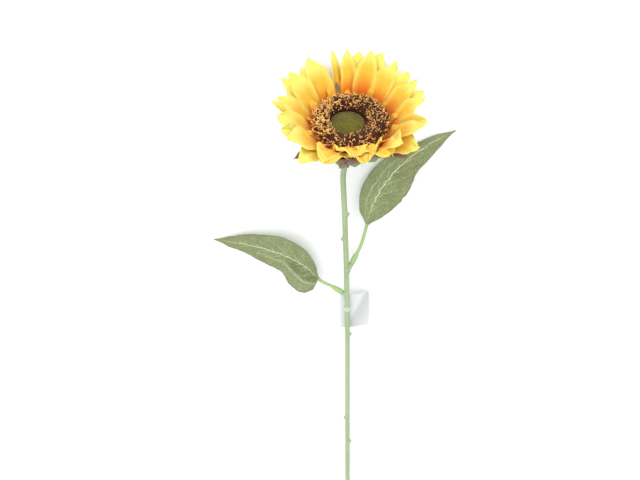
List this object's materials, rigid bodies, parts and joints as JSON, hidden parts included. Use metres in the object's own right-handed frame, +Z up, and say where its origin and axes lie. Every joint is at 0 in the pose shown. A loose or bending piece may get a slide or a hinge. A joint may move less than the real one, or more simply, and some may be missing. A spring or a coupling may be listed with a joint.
{
  "type": "artificial cut sunflower",
  "caption": "Artificial cut sunflower, lying down: a yellow bloom with layered petals and a dark seed head on a long leafy stem. A decoration.",
  "frame": {"origin": "centre of the object's box, on the surface that the flower lies on", "axes": "+Y along the stem from the cut end to the bloom, +Z up from the surface, +X to the right of the stem seen from above with the bloom away from the viewer"},
  "size_m": [0.2682, 0.6526, 0.1155],
  "materials": {
    "stem_plastic": "satin, with fine lengthwise ribs",
    "wire": "drawn wire",
    "stalk_plastic": "satin",
    "leaf_fabric": "woven fabric with pale printed veins",
    "cup_plastic": "satin",
    "sepal_fabric": "woven fabric, brown-purple at the tips",
    "petal_fabric": "pleated woven fabric, orange at the root and yellow at the tip",
    "inner_petal_fabric": "woven fabric, orange",
    "button_plastic": "matte",
    "floret_plastic": "matte, with golden tips",
    "pad_flock": "velvety flock",
    "card": "smooth coated card, bare",
    "clear_film": "clear"
  },
  "bodies": {
    "root": {"stem": "stem_plastic", "stem_wire": "wire", "stalk_left": "stalk_plastic", "stalk_right": "stalk_plastic", "leaf_left": "leaf_fabric", "leaf_right": "leaf_fabric", "calyx_cup": "cup_plastic", "sepals": "sepal_fabric", "petals_back": "petal_fabric", "petals_front": "petal_fabric", "petals_inner": "inner_petal_fabric", "bloom_button": "button_plastic", "floret_ring": "floret_plastic", "seed_pad": "pad_flock", "tag": "card", "tag_band": "clear_film"}
  },
  "joints": []
}
